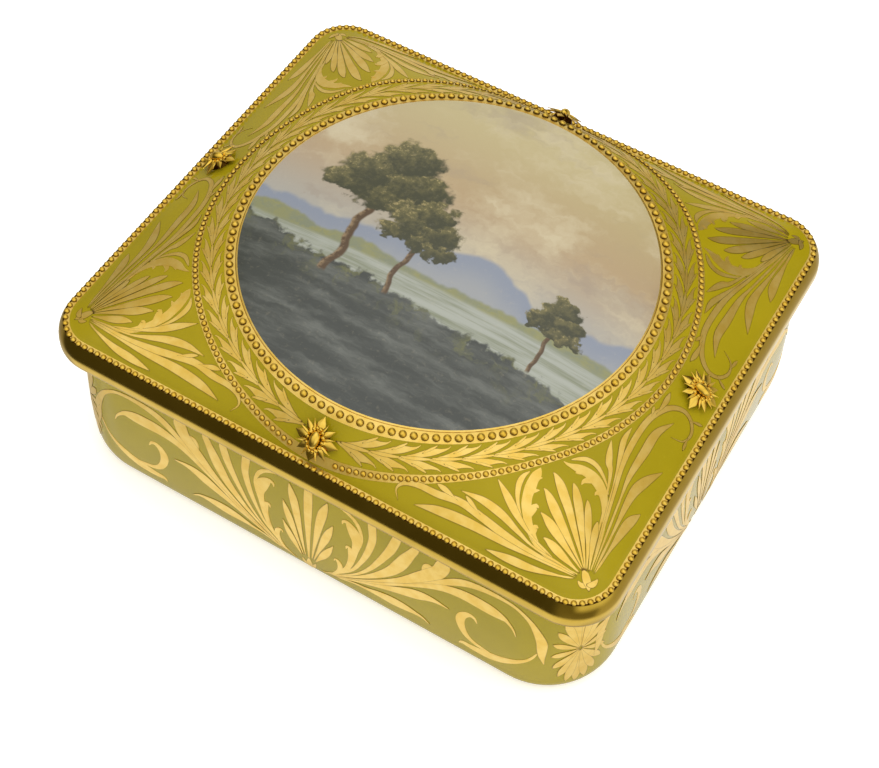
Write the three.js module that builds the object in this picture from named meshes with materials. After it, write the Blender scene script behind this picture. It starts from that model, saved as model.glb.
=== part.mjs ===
// Painted porcelain table box with a lift-off domed lid. Millimetres, +Z up.
// The box stands on its foot ring at z = 0, its long side runs along X and its front faces -Y.
import * as THREE from 'three';

// Lid plan and rim
const lidLength = 130; // along X, over the widest line of the rim
const lidWidth = 111.8; // along Y, over the widest line of the rim
const lidCornerRadius = 10.5;
const rimHeight = 6.71; // lid's lower edge to the bead ledge
const rimLip = 1.7; // widest line of the rim above the lid's lower edge
const rimTuck = 1.1; // how far the lip draws in below the widest line
const rimRun = 0.55; // how far the rim's face leans in from the widest line to its shoulder
const rimFullness = 2; // 1 is a straight face, more is fuller
const rimShoulder = 0.9; // round from the rim's face to the bead ledge
const ledgeMargin = 0.3; // flat of the ledge inside the bead string
const smallestRadius = 0.2; // of a corner of the plan
const lidRise = 8.7; // from the bead ledge to the painted field's edge
const lidSwell = 1.3; // 1 is a straight slope, more is fuller
const lidWall = 4.2; // thickness of the lid, measured upright
const flangeDepth = 4.5; // locating flange below the seat
const flangeWall = 2.6;
const flangeClearance = 1.2; // all round, inside the base's mouth

// Base
const baseHeight = 34.6; // foot to the seat that carries the lid
const lidOverhang = 2.2; // lid's widest line past the top of the base
const baseCornerRadius = 16.5; // at the widest line of the base
const baseSwell = 1.6; // how far the walls swell outwards below the top
const underRoundWidth = 2.6; // rounding from the wall to the foot
const underRoundHeight = 5.8;
const baseWall = 3.4;
const floorThickness = 4;
const floorFillet = 5;
const footWidth = 4.5;
const footHeight = 1.2;
const footTaper = 0.8; // slope of the recess inside the foot ring

// Painted field
const medallionDome = 1.8; // rise of the painted field above its edge
const medallionRise = 1.4; // painted field's edge above the lid round it
const medallionBevel = 0.3; // how far the painted field's side leans in
const medallionSeatDepth = 1.4; // recess that holds the painted field
const medallionClearance = 0.3; // all round, in the recess
const medallionBed = 0.1; // cement under the painted field

// Bead strings
const borderInset = 2; // bead line from the lid's edge
const borderBead = 1.15; // bead diameters and pitches
const borderPitch = 1.58;
const wreathBead = 1.1;
const wreathPitch = 1.64;
const medallionBead = 1.3;
const medallionPitch = 1.95;
const wreathToBorder = 1.81; // between bead lines at the front and the back
const wreathFieldWidth = 7.05; // between the two round bead lines
const medallionMargin = 0.85; // from the inner bead line to the recess
const beadHeightShare = 0.75; // bead height over its diameter
const beadWaistShare = 0.5; // size between two beads over the size at a bead

// Bosses
const rosetteRadius = 4.4;
const rosetteLeaves = 16;
const rosetteNotchRadius = 2.9;
const rosetteStemRadius = 2.4;
const rosetteStemHeight = 0.9;
const rosetteLeafThickness = 0.4;
const rosetteCrown = 0.4; // rise of the rosette's middle above its leaves
const collarRadius = 2;
const collarBeads = 12;
const collarBead = 0.8;
const cabochonHalfLength = 1.3;
const cabochonHalfWidth = 1;
const cabochonHeight = 1.1;
const frontBossOffset = 2.5; // from the outer round bead line towards the middle

// Joints between pieces and fineness of the meshes
const seatGap = 0.3; // under a piece that is fixed on a curved or sloping surface
const cornerSteps = 6;
const sideSteps = 10;
const rimSteps = 3; // along the rim's shoulder, its face and its lip
const slopeSteps = 5;
const wallSteps = 4;
const ceilingSteps = 3;
const domeSteps = 5;
const turnSteps = 48;
const cabochonSides = 12;
const cabochonSteps = 3;

// Sizes that follow from the ones above
const quarterTurn = Math.PI / 2;
const lipHeight = baseHeight + rimLip;
const ledgeHeight = baseHeight + rimHeight;
const faceAngle = Math.atan2(rimRun * rimFullness, rimHeight - rimLip - rimShoulder);
const faceTop = ledgeHeight - rimShoulder * (1 - Math.sin(faceAngle));
const fieldHeight = ledgeHeight + lidRise;
const ledgeInnerInset = borderInset + borderBead / 2 + ledgeMargin;
const wreathRadius = lidWidth / 2 - borderInset - wreathToBorder;
const medallionRingRadius = wreathRadius - wreathFieldWidth;
const recessRadius = medallionRingRadius - medallionMargin;
const recessFloor = fieldHeight - medallionSeatDepth;
const mouthInset = lidOverhang + baseWall;
const flangeInset = mouthInset + flangeClearance;

const glaze = new THREE.MeshStandardMaterial({ color: 0x9a9420, roughness: 0.12, metalness: 0 });
const paint = new THREE.MeshStandardMaterial({ color: 0xb9ab98, roughness: 0.2, metalness: 0 });
const gold = new THREE.MeshStandardMaterial({ color: 0xb08a2e, roughness: 0.25, metalness: 1 });

// Closed mesh through rows of points. A row is one loop round the section, or a single point at a pole.
function loft(rows, { ring = false } = {}) {
  const positions = [];
  const starts = rows.map((row) => {
    const start = positions.length / 3;
    row.forEach((point) => positions.push(point.x, point.y, point.z));
    return start;
  });
  const triangles = [];
  const bands = ring ? rows.length : rows.length - 1;
  for (let i = 0; i < bands; i += 1) {
    const next = (i + 1) % rows.length;
    const count = Math.max(rows[i].length, rows[next].length);
    for (let j = 0; j < count; j += 1) {
      const k = (j + 1) % count;
      const a = starts[i] + (j % rows[i].length);
      const b = starts[i] + (k % rows[i].length);
      const c = starts[next] + (k % rows[next].length);
      const d = starts[next] + (j % rows[next].length);
      if (a !== b) triangles.push(a, b, c);
      if (c !== d) triangles.push(a, c, d);
    }
  }
  return outward(positions, triangles);
}

// Turns all faces of a closed mesh outwards by the sign of its volume.
function outward(positions, triangles) {
  const corner = (index) => new THREE.Vector3().fromArray(positions, index * 3);
  let volume = 0;
  for (let i = 0; i < triangles.length; i += 3) {
    const [a, b, c] = [0, 1, 2].map((step) => corner(triangles[i + step]));
    volume += a.dot(b.cross(c));
  }
  const facing = volume > 0 ? triangles : triangles.slice().reverse();
  const geometry = new THREE.BufferGeometry();
  geometry.setAttribute('position', new THREE.Float32BufferAttribute(positions, 3));
  geometry.setIndex(facing);
  geometry.computeVertexNormals();
  return geometry;
}

// Outline of the lid or the base at a distance inside the lid's edge, as round corners joined by straight
// sides. The points on a side lie at even angles round the middle, so that rows of one count match.
function outlineRow(inset, radius, height, stepsPerSide) {
  const halfX = lidLength / 2 - inset;
  const halfY = lidWidth / 2 - inset;
  const signs = [[1, 1], [-1, 1], [-1, -1], [1, -1]];
  const corners = signs.map(([signX, signY], corner) => {
    const points = [];
    for (let i = 0; i <= cornerSteps; i += 1) {
      const angle = (corner + i / cornerSteps) * quarterTurn;
      const x = signX * (halfX - radius) + radius * Math.cos(angle);
      const y = signY * (halfY - radius) + radius * Math.sin(angle);
      points.push(new THREE.Vector3(x, y, height));
    }
    return points;
  });
  return corners.flatMap((points, corner) => {
    const first = points[cornerSteps];
    const last = corners[(corner + 1) % 4][0];
    const alongX = corner % 2 === 0;
    const distance = alongX ? first.y : first.x;
    const firstAngle = Math.atan((alongX ? first.x : first.y) / distance);
    const lastAngle = Math.atan((alongX ? last.x : last.y) / distance);
    const side = [];
    for (let i = 1; i < stepsPerSide; i += 1) {
      const along = distance * Math.tan(THREE.MathUtils.lerp(firstAngle, lastAngle, i / stepsPerSide));
      side.push(new THREE.Vector3(alongX ? along : distance, alongX ? distance : along, height));
    }
    return [...points, ...side];
  });
}

function lidRow(inset, height) {
  return outlineRow(inset, Math.max(lidCornerRadius - inset, smallestRadius), height, sideSteps);
}

function baseRow(inset, height, stepsPerSide = 1) {
  const radius = baseCornerRadius - (inset - (lidOverhang - baseSwell));
  return outlineRow(inset, Math.max(radius, smallestRadius), height, stepsPerSide);
}

// Distance from the middle to the slope's lower edge, in one direction of the plan.
function slopeEdgeRadius(angle) {
  const halfX = lidLength / 2 - ledgeInnerInset;
  const halfY = lidWidth / 2 - ledgeInnerInset;
  const radius = Math.max(lidCornerRadius - ledgeInnerInset, smallestRadius);
  const alongX = Math.abs(Math.cos(angle));
  const alongY = Math.abs(Math.sin(angle));
  const straight = Math.min(halfX / Math.max(alongX, 1e-9), halfY / Math.max(alongY, 1e-9));
  const centreX = halfX - radius;
  const centreY = halfY - radius;
  if (straight * alongX < centreX || straight * alongY < centreY) return straight;
  const along = alongX * centreX + alongY * centreY;
  return along + Math.sqrt(along * along - (centreX * centreX + centreY * centreY - radius * radius));
}

// Height of the lid's outside: the round field's edge, the slope and the bead ledge.
function lidTop(x, y) {
  const edge = slopeEdgeRadius(Math.atan2(y, x));
  const share = THREE.MathUtils.clamp((Math.hypot(x, y) - recessRadius) / (edge - recessRadius), 0, 1);
  return ledgeHeight + lidRise * (1 - share ** lidSwell);
}

function lidNormal(x, y) {
  const step = 0.01;
  const slopeX = (lidTop(x + step, y) - lidTop(x - step, y)) / (2 * step);
  const slopeY = (lidTop(x, y + step) - lidTop(x, y - step)) / (2 * step);
  return new THREE.Vector3(-slopeX, -slopeY, 1).normalize();
}

// Moves a row of points towards the round field and lays it at a depth under the lid's outside.
function rowTowardsField(row, share, depth) {
  return row.map((point) => {
    const angle = Math.atan2(point.y, point.x);
    const radius = THREE.MathUtils.lerp(Math.hypot(point.x, point.y), recessRadius, share);
    const x = radius * Math.cos(angle);
    const y = radius * Math.sin(angle);
    return new THREE.Vector3(x, y, lidTop(x, y) - depth);
  });
}

function lidShell() {
  const slopeEdge = lidRow(ledgeInnerInset, ledgeHeight);
  const fieldEdge = rowTowardsField(slopeEdge, 1, 0);
  const rows = [[new THREE.Vector3(0, 0, recessFloor)]];
  rows.push(fieldEdge.map((point) => new THREE.Vector3(point.x, point.y, recessFloor)));
  for (let i = 0; i <= slopeSteps; i += 1) rows.push(rowTowardsField(slopeEdge, 1 - i / slopeSteps, 0));
  for (let i = 0; i < rimSteps; i += 1) {
    const angle = THREE.MathUtils.lerp(quarterTurn, faceAngle, i / rimSteps);
    const inset = rimRun + rimShoulder * (Math.cos(faceAngle) - Math.cos(angle));
    rows.push(lidRow(inset, ledgeHeight - rimShoulder * (1 - Math.sin(angle))));
  }
  for (let i = 0; i < rimSteps; i += 1) {
    const share = 1 - i / rimSteps;
    rows.push(lidRow(rimRun * share ** rimFullness, THREE.MathUtils.lerp(lipHeight, faceTop, share)));
  }
  for (let i = 0; i <= rimSteps; i += 1) {
    const angle = (i / rimSteps) * quarterTurn;
    rows.push(lidRow(rimTuck * (1 - Math.cos(angle)), lipHeight - rimLip * Math.sin(angle)));
  }
  rows.push(baseRow(flangeInset, baseHeight, sideSteps));
  rows.push(baseRow(flangeInset, baseHeight - flangeDepth, sideSteps));
  const flangeInside = baseRow(flangeInset + flangeWall, baseHeight - flangeDepth, sideSteps);
  rows.push(flangeInside);
  for (let i = 0; i <= ceilingSteps; i += 1) {
    rows.push(rowTowardsField(flangeInside, i / ceilingSteps, lidWall));
  }
  rows.push([new THREE.Vector3(0, 0, fieldHeight - lidWall)]);
  return loft(rows);
}

function boxBase() {
  const widestInset = lidOverhang - baseSwell;
  const footOuter = widestInset + underRoundWidth;
  const wallRise = baseHeight - underRoundHeight;
  const rows = [[new THREE.Vector3(0, 0, footHeight)]];
  rows.push(baseRow(footOuter + footWidth + footTaper, footHeight));
  rows.push(baseRow(footOuter + footWidth, 0));
  for (let i = 0; i <= wallSteps; i += 1) {
    const angle = (i / wallSteps) * quarterTurn;
    const inset = footOuter - underRoundWidth * Math.sin(angle);
    rows.push(baseRow(inset, underRoundHeight * (1 - Math.cos(angle))));
  }
  for (let i = 1; i <= wallSteps; i += 1) {
    const share = i / wallSteps;
    rows.push(baseRow(widestInset + baseSwell * share ** 2, underRoundHeight + wallRise * share));
  }
  const filletTop = footHeight + floorThickness + floorFillet;
  for (let i = wallSteps; i >= 1; i -= 1) {
    const share = i / wallSteps;
    const height = THREE.MathUtils.lerp(filletTop, baseHeight, share);
    rows.push(baseRow(widestInset + baseWall + baseSwell * share ** 2, height));
  }
  for (let i = 0; i <= wallSteps; i += 1) {
    const angle = (i / wallSteps) * quarterTurn;
    const inset = widestInset + baseWall + floorFillet * (1 - Math.cos(angle));
    rows.push(baseRow(inset, filletTop - floorFillet * Math.sin(angle)));
  }
  rows.push([new THREE.Vector3(0, 0, footHeight + floorThickness)]);
  return loft(rows);
}

function paintedMedallion() {
  const seatRadius = recessRadius - medallionClearance;
  const fieldRadius = seatRadius - medallionBevel;
  const collarHeight = medallionSeatDepth - medallionBed;
  const profile = [new THREE.Vector2(0, 0), new THREE.Vector2(seatRadius, 0)];
  profile.push(new THREE.Vector2(seatRadius, collarHeight));
  for (let i = 0; i <= domeSteps; i += 1) {
    const share = 1 - i / domeSteps;
    const rise = medallionDome * (1 - share ** 2);
    profile.push(new THREE.Vector2(fieldRadius * share, collarHeight + medallionRise + rise));
  }
  const geometry = new THREE.LatheGeometry(profile, turnSteps);
  geometry.rotateX(quarterTurn);
  return geometry;
}

// String of beads on the lid, as a ridge that is full at each bead and narrow between two of them.
// Each station is a point of the plan with the direction that points across the string.
function beadString(stations, bead, ring) {
  const rows = stations.map(({ point, across }, index) => {
    const share = index % 2 === 0 ? 1 : beadWaistShare;
    return [-1, 0, 1].map((side) => {
      const x = point.x + (across.x * side * share * bead) / 2;
      const y = point.y + (across.y * side * share * bead) / 2;
      const rise = side === 0 ? bead * beadHeightShare * share : 0;
      return new THREE.Vector3(x, y, lidTop(x, y) + seatGap + rise);
    });
  });
  if (ring) return loft(rows, { ring });
  const middle = (row) => new THREE.Triangle(...row).getMidpoint(new THREE.Vector3());
  return loft([[middle(rows[0])], ...rows, [middle(rows[rows.length - 1])]]);
}

function arcStations(radius, from, to, pitch, ring) {
  const beads = Math.round((Math.abs(to - from) * radius) / pitch);
  const stations = [];
  for (let i = 0; i < 2 * beads + (ring ? 0 : 1); i += 1) {
    const angle = THREE.MathUtils.lerp(from, to, i / (2 * beads));
    const across = new THREE.Vector2(Math.cos(angle), Math.sin(angle));
    stations.push({ point: across.clone().multiplyScalar(radius), across });
  }
  return stations;
}

function borderStations() {
  const halfX = lidLength / 2 - borderInset;
  const halfY = lidWidth / 2 - borderInset;
  const radius = Math.max(lidCornerRadius - borderInset, smallestRadius);
  const path = new THREE.Path();
  path.absarc(halfX - radius, halfY - radius, radius, 0, quarterTurn);
  path.absarc(radius - halfX, halfY - radius, radius, quarterTurn, 2 * quarterTurn);
  path.absarc(radius - halfX, radius - halfY, radius, 2 * quarterTurn, 3 * quarterTurn);
  path.absarc(halfX - radius, radius - halfY, radius, 3 * quarterTurn, 4 * quarterTurn);
  path.closePath();
  const beads = Math.round(path.getLength() / borderPitch);
  const stations = [];
  for (let i = 0; i < 2 * beads; i += 1) {
    const share = i / (2 * beads);
    const tangent = path.getTangentAt(share);
    stations.push({ point: path.getPointAt(share), across: new THREE.Vector2(tangent.y, -tangent.x) });
  }
  return stations;
}

// Pointed leaves round a low crown, on a short round stem.
function leafRosette() {
  const leafRow = (height) => {
    const row = [];
    for (let i = 0; i < 2 * rosetteLeaves; i += 1) {
      const radius = i % 2 === 0 ? rosetteRadius : rosetteNotchRadius;
      const angle = (i * Math.PI) / rosetteLeaves;
      row.push(new THREE.Vector3(radius * Math.cos(angle), radius * Math.sin(angle), height));
    }
    return row;
  };
  const roundRow = (height) => {
    return leafRow(height).map((point) => {
      const angle = Math.atan2(point.y, point.x);
      const x = rosetteStemRadius * Math.cos(angle);
      return new THREE.Vector3(x, rosetteStemRadius * Math.sin(angle), height);
    });
  };
  const leafTop = rosetteStemHeight + rosetteLeafThickness;
  return loft([
    [new THREE.Vector3(0, 0, 0)],
    roundRow(0),
    roundRow(rosetteStemHeight),
    leafRow(rosetteStemHeight),
    leafRow(leafTop),
    roundRow(leafTop + rosetteCrown),
    [new THREE.Vector3(0, 0, leafTop + rosetteCrown)],
  ]);
}

function beadCollar() {
  const rows = [];
  for (let i = 0; i < 2 * collarBeads; i += 1) {
    const angle = (i * Math.PI) / collarBeads;
    const size = collarBead * (i % 2 === 0 ? 1 : beadWaistShare);
    rows.push([-1, 0, 1].map((side) => {
      const radius = collarRadius + (side * size) / 2;
      const height = side === 0 ? size * beadHeightShare : 0;
      return new THREE.Vector3(radius * Math.cos(angle), radius * Math.sin(angle), height);
    }));
  }
  return loft(rows, { ring: true });
}

function cabochon() {
  const profile = [new THREE.Vector2(0, 0)];
  for (let i = 0; i <= cabochonSteps; i += 1) {
    const angle = (i / cabochonSteps) * quarterTurn;
    const radius = i === cabochonSteps ? 0 : cabochonHalfLength * Math.cos(angle);
    profile.push(new THREE.Vector2(radius, cabochonHeight * Math.sin(angle)));
  }
  const geometry = new THREE.LatheGeometry(profile, cabochonSides);
  geometry.rotateX(quarterTurn);
  geometry.scale(1, cabochonHalfWidth / cabochonHalfLength, 1);
  return geometry;
}

const box = new THREE.Group();

function addPiece(parent, name, geometry, material, height = 0) {
  const mesh = new THREE.Mesh(geometry, material);
  mesh.name = name;
  mesh.position.z = height;
  parent.add(mesh);
}

addPiece(box, 'box_base', boxBase(), glaze);
addPiece(box, 'lid_shell', lidShell(), glaze);
addPiece(box, 'painted_medallion', paintedMedallion(), paint, recessFloor + medallionBed);

const fullTurn = 4 * quarterTurn;
const medallionStations = arcStations(medallionRingRadius, 0, fullTurn, medallionPitch, true);
addPiece(box, 'medallion_beads', beadString(medallionStations, medallionBead, true), gold);

const bossAngle = (rosetteRadius + seatGap + wreathBead / 2) / wreathRadius;
const halfArc = quarterTurn - bossAngle;
const rightArc = arcStations(wreathRadius, -halfArc, halfArc, wreathPitch, false);
const leftArc = arcStations(wreathRadius, Math.PI - halfArc, Math.PI + halfArc, wreathPitch, false);
addPiece(box, 'wreath_beads_right', beadString(rightArc, wreathBead, false), gold);
addPiece(box, 'wreath_beads_left', beadString(leftArc, wreathBead, false), gold);
addPiece(box, 'border_beads', beadString(borderStations(), borderBead, true), gold);

// Each boss stands square to the slope that carries it.
const frontBossY = wreathRadius - frontBossOffset;
const sideBossX = (wreathRadius + lidLength / 2 - borderInset) / 2;
const bossPlaces = {
  front: [0, -frontBossY],
  right: [sideBossX, 0],
  back: [0, frontBossY],
  left: [-sideBossX, 0],
};
const crownHeight = rosetteStemHeight + rosetteLeafThickness + rosetteCrown;
for (const [side, [x, y]] of Object.entries(bossPlaces)) {
  const boss = new THREE.Group();
  const normal = lidNormal(x, y);
  boss.position.set(x, y, lidTop(x, y)).addScaledVector(normal, seatGap);
  boss.quaternion.setFromUnitVectors(new THREE.Vector3(0, 0, 1), normal);
  addPiece(boss, `${side}_boss_rosette`, leafRosette(), gold);
  addPiece(boss, `${side}_boss_collar`, beadCollar(), gold, crownHeight + seatGap);
  addPiece(boss, `${side}_boss_cabochon`, cabochon(), gold, crownHeight + seatGap);
  box.add(boss);
}

export default box;
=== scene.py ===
import bmesh
import bpy
import math
from mathutils import Matrix, Vector


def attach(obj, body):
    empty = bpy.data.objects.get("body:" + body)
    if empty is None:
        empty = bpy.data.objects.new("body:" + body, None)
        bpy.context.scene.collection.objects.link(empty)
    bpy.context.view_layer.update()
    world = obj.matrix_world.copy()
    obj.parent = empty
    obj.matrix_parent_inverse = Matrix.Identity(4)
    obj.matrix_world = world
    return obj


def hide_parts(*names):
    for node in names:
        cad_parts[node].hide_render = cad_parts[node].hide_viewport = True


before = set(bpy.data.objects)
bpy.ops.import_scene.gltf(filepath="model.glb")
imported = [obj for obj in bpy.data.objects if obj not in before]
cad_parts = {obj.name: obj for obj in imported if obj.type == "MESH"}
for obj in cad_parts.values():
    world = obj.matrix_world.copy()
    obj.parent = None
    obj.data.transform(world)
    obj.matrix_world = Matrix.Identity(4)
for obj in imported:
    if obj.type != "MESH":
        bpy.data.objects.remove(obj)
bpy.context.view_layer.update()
mm = 0.001
quarterTurn = math.pi / 2

# sizes in millimetres, as in the solids, apart from the rim, whose curve lies just inside theirs
lidPlan = {
    "halfX": 65.0, "halfY": 55.9, "corner": 10.5,
    "rimLip": 1.7, "rimTuck": 1.1, "rimRun": 1.43, "rimFullness": 2.4,
    "ledgeHeight": 41.31, "ledgeInner": 2.875, "goldLine": 0.3, "shadedHollow": 1.8,
    "rise": 8.7, "swell": 1.3, "wall": 4.2,
    "recess": 44.19, "recessFloor": 48.61,
    "flangeInset": 6.8, "flangeWall": 2.6, "flangeDepth": 4.5,
    "slopeRows": 30, "rimRows": 16, "insideRows": 6,
}
basePlan = {
    "height": 34.6, "corner": 16.5, "overhang": 2.2, "swell": 1.6,
    "roundWidth": 2.6, "roundHeight": 5.8, "wall": 3.4,
    "floor": 4.0, "floorFillet": 5.0, "footWidth": 4.5, "footHeight": 1.2, "footTaper": 0.8,
    "wallRows": 18, "filletRows": 8, "mouthRound": 0.5, "mouthTurns": (30, 60, 90),
}
baseInset = basePlan["overhang"] - basePlan["swell"]
smallestRadius = 0.2
outlineSteps = {"corner": 16, "side": 40}
lipHeight = basePlan["height"] + lidPlan["rimLip"]


def startEdit():
    bpy.ops.object.mode_set(mode="EDIT")


def endEdit():
    bpy.ops.object.mode_set(mode="OBJECT")


def deselectAll():
    if bpy.context.object and bpy.context.object.mode != "OBJECT":
        endEdit()
    bpy.ops.object.select_all(action="DESELECT")


def pick(piece):
    deselectAll()
    piece.select_set(True)
    bpy.context.view_layer.objects.active = piece


def joinAll(name, pieces):
    deselectAll()
    for piece in pieces:
        piece.select_set(True)
    bpy.context.view_layer.objects.active = pieces[0]
    if len(pieces) > 1:
        bpy.ops.object.join()
    joined = bpy.context.object
    joined.name = name
    return joined


def copyPiece(piece, name):
    twin = piece.copy()
    twin.data = piece.data.copy()
    twin.name = name
    bpy.context.scene.collection.objects.link(twin)
    return twin


def applyModifier(piece, kind, settings):
    pick(piece)
    modifier = piece.modifiers.new(kind.lower(), kind)
    for key, value in settings.items():
        setattr(modifier, key, value)
    bpy.ops.object.modifier_apply(modifier=modifier.name)


def smooth(piece, angle=35):
    pick(piece)
    bpy.ops.object.shade_smooth_by_angle(angle=math.radians(angle))


def place(piece, body, finishes, replaced=()):
    for finish in finishes:
        piece.data.materials.append(finish)
    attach(piece, body)
    if replaced:
        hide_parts(*replaced)


# outline of the lid or base at an inset from the lid's edge, as a closed row of points
def outlineRow(inset, radius, height):
    halfX = lidPlan["halfX"] - inset
    halfY = lidPlan["halfY"] - inset
    corners = []
    for turn, (signX, signY) in enumerate([(1, 1), (-1, 1), (-1, -1), (1, -1)]):
        arc = []
        for i in range(outlineSteps["corner"] + 1):
            angle = (turn + i / outlineSteps["corner"]) * quarterTurn
            x = signX * (halfX - radius) + radius * math.cos(angle)
            y = signY * (halfY - radius) + radius * math.sin(angle)
            arc.append((x, y, height))
        corners.append(arc)
    row = []
    for turn, arc in enumerate(corners):
        first, last = arc[-1], corners[(turn + 1) % 4][0]
        row += arc
        across = 1 if turn % 2 == 0 else 0
        along = 1 - across
        start = math.atan(first[along] / first[across])
        end = math.atan(last[along] / last[across])
        for i in range(1, outlineSteps["side"]):
            point = [0, 0, height]
            point[across] = first[across]
            point[along] = first[across] * math.tan(start + (end - start) * i / outlineSteps["side"])
            row.append(tuple(point))
    return row


def lidRow(inset, height):
    return outlineRow(inset, max(lidPlan["corner"] - inset, smallestRadius), height)


def baseRow(inset, height):
    return outlineRow(inset, max(basePlan["corner"] - (inset - baseInset), smallestRadius), height)


# distance from the middle to the lower edge of the lid's slope
def slopeEdge(angle):
    halfX = lidPlan["halfX"] - lidPlan["ledgeInner"]
    halfY = lidPlan["halfY"] - lidPlan["ledgeInner"]
    radius = lidPlan["corner"] - lidPlan["ledgeInner"]
    tiny = 1e-9
    alongX = max(abs(math.cos(angle)), tiny)
    alongY = max(abs(math.sin(angle)), tiny)
    straight = min(halfX / alongX, halfY / alongY)
    centreX, centreY = halfX - radius, halfY - radius
    if straight * alongX < centreX or straight * alongY < centreY:
        return straight
    along = alongX * centreX + alongY * centreY
    return along + math.sqrt(along ** 2 - (centreX ** 2 + centreY ** 2 - radius ** 2))


def lidTop(x, y):
    edge = slopeEdge(math.atan2(y, x))
    share = (math.hypot(x, y) - lidPlan["recess"]) / (edge - lidPlan["recess"])
    share = min(max(share, 0), 1)
    return lidPlan["ledgeHeight"] + lidPlan["rise"] * (1 - share ** lidPlan["swell"])


def lidNormal(x, y):
    step = 0.01
    slopeX = (lidTop(x + step, y) - lidTop(x - step, y)) / (2 * step)
    slopeY = (lidTop(x, y + step) - lidTop(x, y - step)) / (2 * step)
    return Vector((-slopeX, -slopeY, 1)).normalized()


# a point of the lid's top, lifted along the surface's normal
def lidPoint(x, y, lift):
    return Vector((x, y, lidTop(x, y))) + lidNormal(x, y) * lift


# stands a piece that is made at the origin on the lid's top
def standOnLid(x, y):
    tilt = Vector((0, 0, 1)).rotation_difference(lidNormal(x, y)).to_matrix().to_4x4()
    return Matrix.Translation(lidPoint(x, y, 0) * mm) @ tilt


def rowTowardsField(row, share, depth):
    moved = []
    for x, y, _ in row:
        reach = math.hypot(x, y)
        scale = (reach + (lidPlan["recess"] - reach) * share) / reach
        moved.append((x * scale, y * scale, lidTop(x * scale, y * scale) - depth))
    return moved


def wallInset(height):
    if height < basePlan["roundHeight"]:
        angle = math.acos(1 - max(height, 0) / basePlan["roundHeight"])
        return baseInset + basePlan["roundWidth"] * (1 - math.sin(angle))
    share = (height - basePlan["roundHeight"]) / (basePlan["height"] - basePlan["roundHeight"])
    return baseInset + basePlan["swell"] * share ** 2


# a point on the base's wall: u runs round the outline from the middle of a side
def wallPoint(side, u, height, lift):
    radius = basePlan["corner"] + baseInset - wallInset(height)
    centreX = lidPlan["halfX"] - basePlan["corner"] - baseInset
    centreY = lidPlan["halfY"] - basePlan["corner"] - baseInset
    straight, depth = (centreX, centreY) if side % 2 == 0 else (centreY, centreX)
    reach = radius + lift
    if abs(u) <= straight:
        along, out = u, depth + reach
    else:
        angle = (abs(u) - straight) / (basePlan["corner"] - baseInset)
        along = math.copysign(straight + reach * math.sin(angle), u)
        out = depth + reach * math.cos(angle)
    spot = Vector((along, -out, height))
    return Matrix.Rotation(side * quarterTurn, 3, "Z") @ spot


# closed body through rows of points, each with the finish of the band that ends at it, drawn as by hand:
# a filled circle whose edge is extruded row by row
def loftRows(name, layers, pointedEnd=False):
    deselectAll()
    firstRow, firstFinish = layers[0]
    bpy.ops.mesh.primitive_circle_add(vertices=len(firstRow), radius=0.05, fill_type="NGON")
    piece = bpy.context.object
    piece.name = name
    startEdit()
    bpy.ops.mesh.select_mode(type="EDGE")
    mesh = bmesh.from_edit_mesh(piece.data)
    order = mesh.verts.layers.int.new("order")
    mesh.verts.ensure_lookup_table()
    for index, vertex in enumerate(mesh.verts):
        vertex[order] = index
        vertex.co = Vector(firstRow[index]) * mm
    for face in mesh.faces:
        face.material_index = firstFinish
    for row, finish in layers[1:]:
        mesh.faces.ensure_lookup_table()
        known = len(mesh.faces)
        bpy.ops.mesh.extrude_edges_move()
        mesh = bmesh.from_edit_mesh(piece.data)
        order = mesh.verts.layers.int["order"]
        for vertex in mesh.verts:
            if vertex.select:
                vertex.co = Vector(row[vertex[order]]) * mm
        mesh.faces.ensure_lookup_table()
        for face in mesh.faces[known:]:
            face.material_index = finish
    if pointedEnd:
        bpy.ops.mesh.merge(type="CENTER")
    else:
        bpy.ops.mesh.edge_face_add()
        mesh = bmesh.from_edit_mesh(piece.data)
        mesh.faces.ensure_lookup_table()
        mesh.faces[len(mesh.faces) - 1].material_index = layers[-1][1]
    mesh = bmesh.from_edit_mesh(piece.data)
    mesh.verts.layers.int.remove(mesh.verts.layers.int["order"])
    bmesh.update_edit_mesh(piece.data)
    bpy.ops.mesh.select_all(action="SELECT")
    bpy.ops.mesh.normals_make_consistent(inside=False)
    endEdit()
    smooth(piece)
    return piece


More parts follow.
